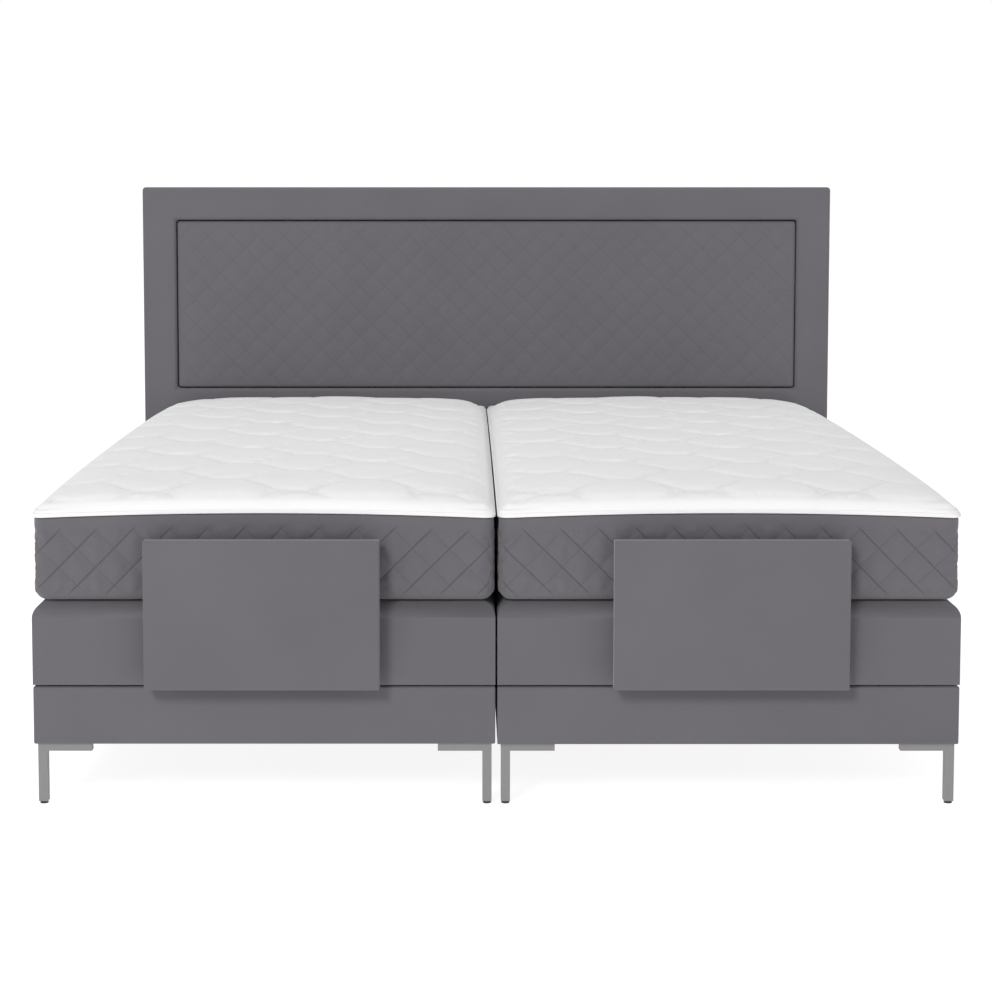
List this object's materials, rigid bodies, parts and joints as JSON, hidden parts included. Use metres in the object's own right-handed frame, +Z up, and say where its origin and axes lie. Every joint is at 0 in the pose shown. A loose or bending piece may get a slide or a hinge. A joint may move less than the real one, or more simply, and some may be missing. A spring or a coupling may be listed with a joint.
{
  "type": "adjustable bed",
  "caption": "Two-part upholstered electric adjustable bed with lifting back and leg sections, divided mattresses, foot panels, corner legs and a padded headboard.",
  "frame": {"origin": "middle of the whole bed's footprint, on the floor", "axes": "+Z up, +Y towards the head end, +X to the right as seen from the foot end"},
  "size_m": [1.95, 2.16, 1.199],
  "materials": {
    "upholstery": "matte",
    "base_fabric": "matte",
    "mattress_border": "matte",
    "mattress_quilt": "matte",
    "back_cloth": "matte",
    "leg_steel": "satin",
    "zinc_steel": "satin",
    "frame_steel": "satin",
    "board_wood": "matte",
    "black_plastic": "satin",
    "white_plastic": "satin"
  },
  "bodies": {
    "root": {"headboard_core": "upholstery", "headboard_border": "upholstery", "headboard_panel": "upholstery", "headboard_back_cloth": "back_cloth", "headboard_bolts": "zinc_steel", "headboard_glides": "black_plastic", "link_plates": "frame_steel", "leg_bolts": "zinc_steel", "leg_glides": "black_plastic", "hinge_pins": "zinc_steel", "corner_blocks": "board_wood", "control_box": "black_plastic", "left_plinth_rails": "base_fabric", "left_legs": "leg_steel", "left_subframe": "frame_steel", "left_seat_box": "base_fabric", "left_seat_mattress": "mattress_border", "left_mattress_folds": "mattress_quilt", "left_drive_housing": "black_plastic", "left_drive_motors": "zinc_steel", "right_plinth_rails": "base_fabric", "right_legs": "leg_steel", "right_subframe": "frame_steel", "right_seat_box": "base_fabric", "right_seat_mattress": "mattress_border", "right_mattress_folds": "mattress_quilt", "right_drive_housing": "black_plastic", "right_drive_motors": "zinc_steel"},
    "left_back": {"left_back_box": "base_fabric", "left_back_frame": "frame_steel", "left_back_mattress": "mattress_border"},
    "left_thigh": {"left_thigh_box": "base_fabric", "left_thigh_frame": "frame_steel", "left_thigh_mattress": "mattress_border", "left_knee_pins": "zinc_steel"},
    "left_calf": {"left_calf_box": "base_fabric", "left_calf_frame": "frame_steel", "left_calf_mattress": "mattress_border", "left_foot_panel": "upholstery", "left_foot_panel_brackets": "frame_steel"},
    "left_back_shaft": {"left_back_lift_shaft": "frame_steel"},
    "left_leg_shaft": {"left_leg_lift_shaft": "frame_steel"},
    "left_back_block": {"left_back_drive_block": "white_plastic"},
    "left_leg_block": {"left_leg_drive_block": "white_plastic"},
    "right_back": {"right_back_box": "base_fabric", "right_back_frame": "frame_steel", "right_back_mattress": "mattress_border"},
    "right_thigh": {"right_thigh_box": "base_fabric", "right_thigh_frame": "frame_steel", "right_thigh_mattress": "mattress_border", "right_knee_pins": "zinc_steel"},
    "right_calf": {"right_calf_box": "base_fabric", "right_calf_frame": "frame_steel", "right_calf_mattress": "mattress_border", "right_foot_panel": "upholstery", "right_foot_panel_brackets": "frame_steel"},
    "right_back_shaft": {"right_back_lift_shaft": "frame_steel"},
    "right_leg_shaft": {"right_leg_lift_shaft": "frame_steel"},
    "right_back_block": {"right_back_drive_block": "white_plastic"},
    "right_leg_block": {"right_leg_drive_block": "white_plastic"}
  },
  "joints": [
    {"name": "left_back_lift", "type": "hinge", "parent": "root", "child": "left_back", "pos_m": [-0.451, 0.192, 0.389], "axis": [1, 0, 0], "range_deg": [0, 60], "deforming": ["left_mattress_folds"]},
    {"name": "left_thigh_lift", "type": "hinge", "parent": "root", "child": "left_thigh", "pos_m": [-0.451, -0.088, 0.389], "axis": [-1, 0, 0], "range_deg": [0, 35]},
    {"name": "left_calf_knee", "type": "hinge", "parent": "left_thigh", "child": "left_calf", "pos_m": [-0.451, -0.388, 0.389], "axis": [1, 0, 0], "range_deg": [0, 45.6]},
    {"name": "left_back_shaft_turn", "type": "hinge", "parent": "root", "child": "left_back_shaft", "pos_m": [-0.451, 0.342, 0.311], "axis": [1, 0, 0], "range_deg": [0, 76.9]},
    {"name": "left_leg_shaft_turn", "type": "hinge", "parent": "root", "child": "left_leg_shaft", "pos_m": [-0.451, -0.168, 0.311], "axis": [-1, 0, 0], "range_deg": [0, 45.6]},
    {"name": "left_back_block_slide", "type": "slide", "parent": "root", "child": "left_back_block", "axis": [0, 1, 0], "range_m": [0, 0.0874]},
    {"name": "left_leg_block_slide", "type": "slide", "parent": "root", "child": "left_leg_block", "axis": [0, -1, 0], "range_m": [0, 0.0545]},
    {"name": "right_back_lift", "type": "hinge", "parent": "root", "child": "right_back", "pos_m": [0.451, 0.192, 0.389], "axis": [1, 0, 0], "range_deg": [0, 60], "deforming": ["right_mattress_folds"]},
    {"name": "right_thigh_lift", "type": "hinge", "parent": "root", "child": "right_thigh", "pos_m": [0.451, -0.088, 0.389], "axis": [-1, 0, 0], "range_deg": [0, 35]},
    {"name": "right_calf_knee", "type": "hinge", "parent": "right_thigh", "child": "right_calf", "pos_m": [0.451, -0.388, 0.389], "axis": [1, 0, 0], "range_deg": [0, 45.6]},
    {"name": "right_back_shaft_turn", "type": "hinge", "parent": "root", "child": "right_back_shaft", "pos_m": [0.451, 0.342, 0.311], "axis": [1, 0, 0], "range_deg": [0, 76.9]},
    {"name": "right_leg_shaft_turn", "type": "hinge", "parent": "root", "child": "right_leg_shaft", "pos_m": [0.451, -0.168, 0.311], "axis": [-1, 0, 0], "range_deg": [0, 45.6]},
    {"name": "right_back_block_slide", "type": "slide", "parent": "root", "child": "right_back_block", "axis": [0, 1, 0], "range_m": [0, 0.0874]},
    {"name": "right_leg_block_slide", "type": "slide", "parent": "root", "child": "right_leg_block", "axis": [0, -1, 0], "range_m": [0, 0.0545]}
  ],
  "couplings": [
    {"joint": "left_calf_knee", "follows": "left_thigh_lift", "ratio": 1.3},
    {"joint": "left_back_shaft_turn", "follows": "left_back_lift", "ratio": 1.28},
    {"joint": "left_back_block_slide", "follows": "left_back_lift", "m_per_rad": 0.083041},
    {"joint": "left_leg_shaft_turn", "follows": "left_thigh_lift", "ratio": 1.3},
    {"joint": "left_leg_block_slide", "follows": "left_thigh_lift", "m_per_rad": 0.088628},
    {"joint": "right_calf_knee", "follows": "right_thigh_lift", "ratio": 1.3},
    {"joint": "right_back_shaft_turn", "follows": "right_back_lift", "ratio": 1.28},
    {"joint": "right_back_block_slide", "follows": "right_back_lift", "m_per_rad": 0.083041},
    {"joint": "right_leg_shaft_turn", "follows": "right_thigh_lift", "ratio": 1.3},
    {"joint": "right_leg_block_slide", "follows": "right_thigh_lift", "m_per_rad": 0.088628}
  ]
}
